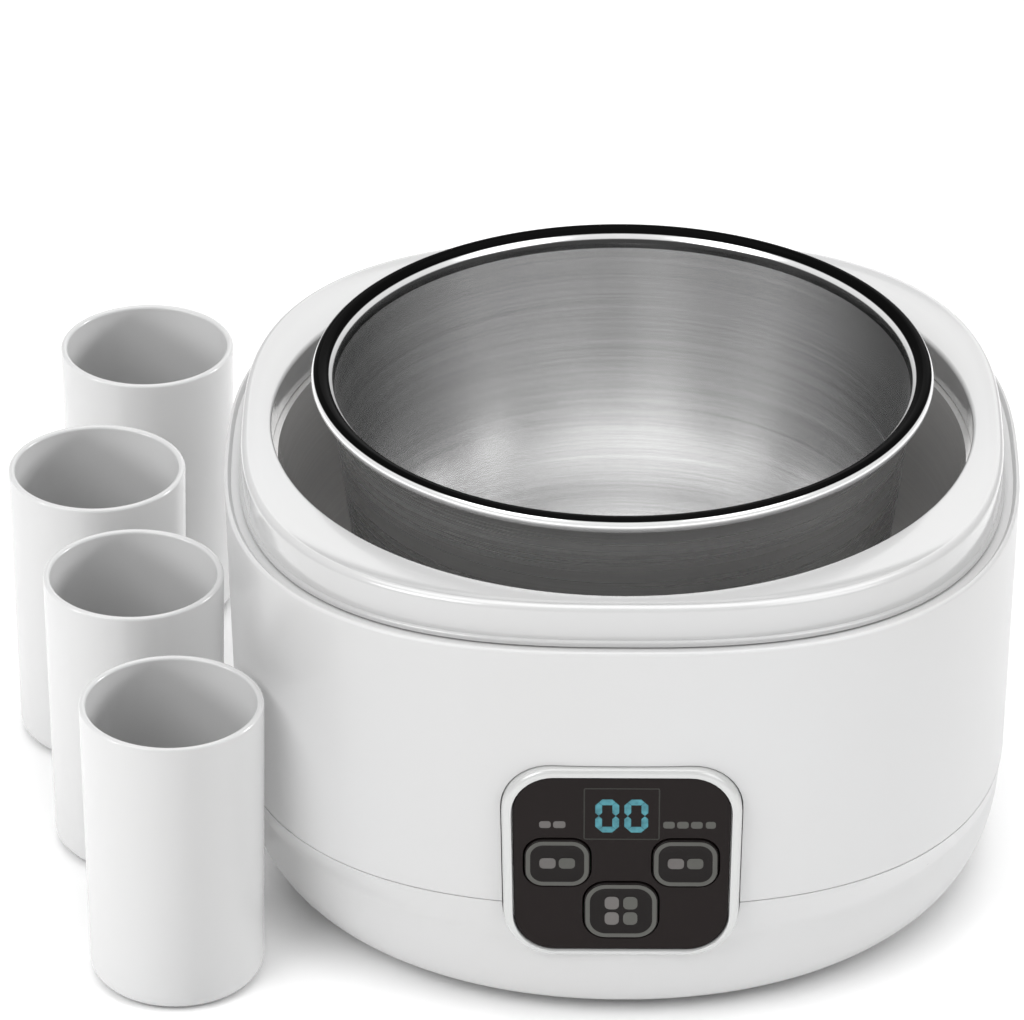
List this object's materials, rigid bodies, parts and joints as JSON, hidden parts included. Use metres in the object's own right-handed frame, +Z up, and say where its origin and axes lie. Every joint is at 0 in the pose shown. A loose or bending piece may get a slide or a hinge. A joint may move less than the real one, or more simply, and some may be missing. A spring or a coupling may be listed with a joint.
{
  "type": "yogurt maker",
  "caption": "Countertop yogurt maker: rounded-square heated base with a key panel, a lift-out steel bowl in a round heating chamber, and separate serving cups.",
  "frame": {"origin": "on the floor, under the middle of the box that the base and the cups fill together", "axes": "+Z up, -Y towards the user's side with the control panel, +X to the user's right"},
  "size_m": [0.2728, 0.252, 0.1425],
  "materials": {
    "white_shell": "white moulded plastic, satin gloss",
    "white_collar": "white moulded plastic, satin gloss",
    "bezel_silver": "pale silver painted plastic, satin",
    "pane_black": "gloss black",
    "key_black": "gloss black with a pale ring",
    "chamber_grey": "dark grey anodised, satin",
    "bowl_steel": "brushed wall, polished rim",
    "cup_white": "white moulded plastic, satin",
    "foot_rubber": "matte",
    "screw_steel": "zinc plated",
    "pin_metal": "nickel plated",
    "heater_metal": "raw aluminium",
    "element_dark": "dark sheath",
    "insulation_felt": "glass fibre felt",
    "board_green": "solder mask",
    "part_dark": "moulded",
    "lead_sleeve": "insulation"
  },
  "bodies": {
    "base": {"body_shell": "white_shell", "base_shell": "white_shell", "base_cover": "white_shell", "top_ring": "white_collar", "panel_bezel": "bezel_silver", "panel_window": "pane_black", "heating_chamber": "chamber_grey", "foot_1": "foot_rubber", "foot_2": "foot_rubber", "foot_3": "foot_rubber", "foot_4": "foot_rubber", "base_screw_1": "screw_steel", "base_screw_2": "screw_steel", "base_screw_3": "screw_steel", "base_screw_4": "screw_steel", "inlet_pin_left": "pin_metal", "inlet_pin_right": "pin_metal", "heater_plate": "heater_metal", "heater_clamp": "heater_metal", "temperature_sensor": "heater_metal", "heater_element": "element_dark", "insulation_sleeve": "insulation_felt", "thermal_fuse": "insulation_felt", "control_board": "board_green", "power_board": "board_green", "terminal_block": "board_green", "display_module": "part_dark", "buzzer": "part_dark", "controller_chip": "part_dark", "switch_left": "part_dark", "switch_right": "part_dark", "switch_center": "part_dark", "transformer": "part_dark", "relay": "part_dark", "capacitor": "part_dark", "inlet_socket": "part_dark", "inlet_lead": "lead_sleeve", "heater_lead": "lead_sleeve", "ribbon_cable": "lead_sleeve"},
    "bowl": {"inner_bowl": "bowl_steel"},
    "cup_1": {"cup_1": "cup_white"},
    "cup_2": {"cup_2": "cup_white"},
    "cup_3": {"cup_3": "cup_white"},
    "cup_4": {"cup_4": "cup_white"},
    "key_left": {"key_left": "key_black"},
    "key_right": {"key_right": "key_black"},
    "key_center": {"key_center": "key_black"}
  },
  "joints": [
    {"name": "bowl_lift", "type": "slide", "parent": "base", "child": "bowl", "axis": [0, 0, 1], "range_m": [0, 0.11]},
    {"name": "cup_1_lift", "type": "slide", "parent": "base", "child": "cup_1", "axis": [0, 0, 1], "range_m": [0, 0.09]},
    {"name": "cup_2_lift", "type": "slide", "parent": "base", "child": "cup_2", "axis": [0, 0, 1], "range_m": [0, 0.09]},
    {"name": "cup_3_lift", "type": "slide", "parent": "base", "child": "cup_3", "axis": [0, 0, 1], "range_m": [0, 0.09]},
    {"name": "cup_4_lift", "type": "slide", "parent": "base", "child": "cup_4", "axis": [0, 0, 1], "range_m": [0, 0.09]},
    {"name": "key_left_press", "type": "slide", "parent": "base", "child": "key_left", "axis": [0, 0.9997, 0.0262], "range_m": [0, 0.0006], "stiffness_N_per_m": 1500},
    {"name": "key_right_press", "type": "slide", "parent": "base", "child": "key_right", "axis": [0, 0.9997, 0.0262], "range_m": [0, 0.0006], "stiffness_N_per_m": 1500},
    {"name": "key_center_press", "type": "slide", "parent": "base", "child": "key_center", "axis": [0, 0.9997, 0.0262], "range_m": [0, 0.0006], "stiffness_N_per_m": 1500}
  ]
}
